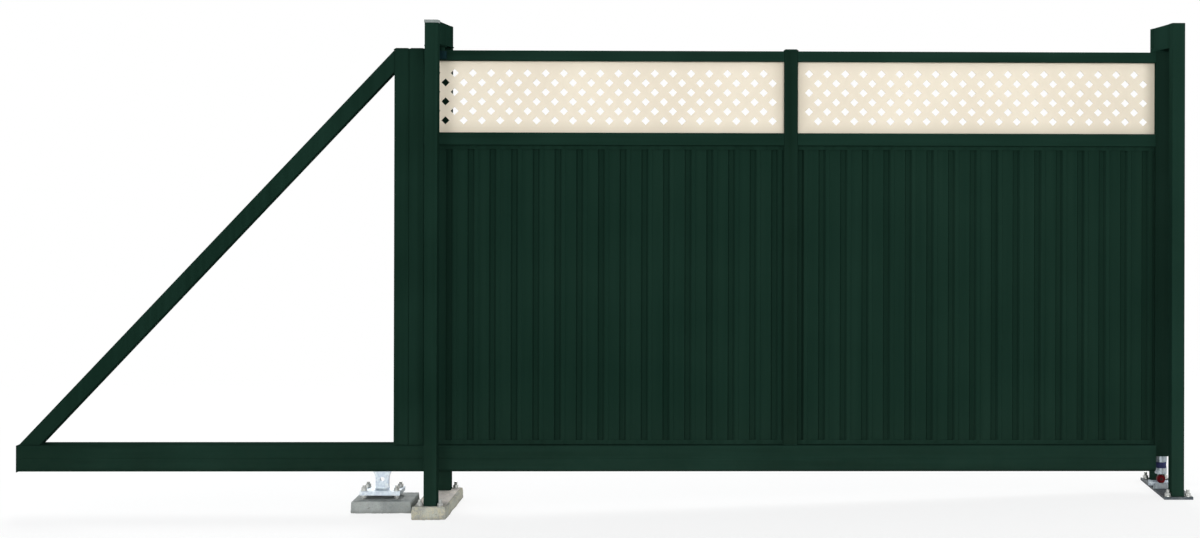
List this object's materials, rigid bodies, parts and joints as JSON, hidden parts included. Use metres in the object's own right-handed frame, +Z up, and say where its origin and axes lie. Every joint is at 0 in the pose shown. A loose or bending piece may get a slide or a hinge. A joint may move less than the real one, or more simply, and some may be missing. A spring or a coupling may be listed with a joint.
{
  "type": "sliding driveway gate",
  "caption": "Self-supporting sliding driveway gate with a braced tail, diamond lattice over ribbed sheet, a guide portal, a receiving portal and a roller carriage.",
  "frame": {"origin": "on the underside of the guide portal's concrete pad, below the middle of the portal, in the leaf's mid-plane", "axes": "+X along the gate from the tail towards the receiving portal, -Y towards the street side that the picture shows, +Z up"},
  "size_m": [5.5275, 0.469, 2.316],
  "materials": {
    "green_powder_coat": "satin powder coat",
    "green_ribbed_sheet": "satin coil coating",
    "green_plastic_cap": "moulded, satin",
    "cream_pvc": "satin",
    "galvanised_steel": "hot-dip galvanised",
    "zinc_plated_steel": "zinc plated",
    "wheel_steel": "turned",
    "dark_nylon": "turned nylon",
    "blackened_steel": "black oxide",
    "red_roller": "cast polyurethane",
    "grey_plastic_cap": "moulded, satin",
    "concrete": "trowelled"
  },
  "bodies": {
    "supports": {"carriage_axles": "zinc_plated_steel", "carriage_bracket": "galvanised_steel", "carriage_pad": "concrete", "carriage_plate": "galvanised_steel", "carriage_studs": "zinc_plated_steel", "carriage_wheels": "wheel_steel", "guide_pins": "green_powder_coat", "guide_plate": "green_powder_coat", "guide_rollers": "dark_nylon", "left_base_plate": "galvanised_steel", "left_bridge": "green_powder_coat", "left_front_post": "green_powder_coat", "left_pad": "concrete", "left_post_cap": "grey_plastic_cap", "left_rear_post": "green_powder_coat", "receiver_tray": "galvanised_steel", "right_base_plate": "galvanised_steel", "right_bridge": "green_powder_coat", "right_front_post": "green_powder_coat", "right_rear_post": "green_powder_coat"},
    "leaf": {"bottom_rail": "green_powder_coat", "tail_end_cap": "green_plastic_cap", "tail_brace": "green_powder_coat", "tail_post": "green_powder_coat", "left_stile": "green_powder_coat", "mullion": "green_powder_coat", "right_stile": "green_powder_coat", "tail_post_cap": "green_plastic_cap", "left_stile_cap": "green_plastic_cap", "mullion_cap": "green_plastic_cap", "right_stile_cap": "green_plastic_cap", "top_rail_left": "green_powder_coat", "top_rail_right": "green_powder_coat", "mid_rail_left": "green_powder_coat", "mid_rail_right": "green_powder_coat", "lattice_panel_left": "cream_pvc", "lattice_panel_right": "cream_pvc", "ribbed_sheet_left": "green_ribbed_sheet", "ribbed_sheet_right": "green_ribbed_sheet", "lower_channel_left": "green_powder_coat", "lower_channel_right": "green_powder_coat", "upper_channel_left": "green_powder_coat", "upper_channel_right": "green_powder_coat", "end_roller_bracket": "galvanised_steel", "end_roller_pin": "blackened_steel"},
    "end_roller": {"end_roller": "red_roller"}
  },
  "joints": [
    {"name": "leaf_slide", "type": "slide", "parent": "supports", "child": "leaf", "axis": [-1, 0, 0], "range_m": [0, 3.43]},
    {"name": "end_roller_spin", "type": "hinge", "parent": "leaf", "child": "end_roller", "pos_m": [3.457, 0, 0.142], "axis": [0, 1, 0], "continuous": true}
  ]
}
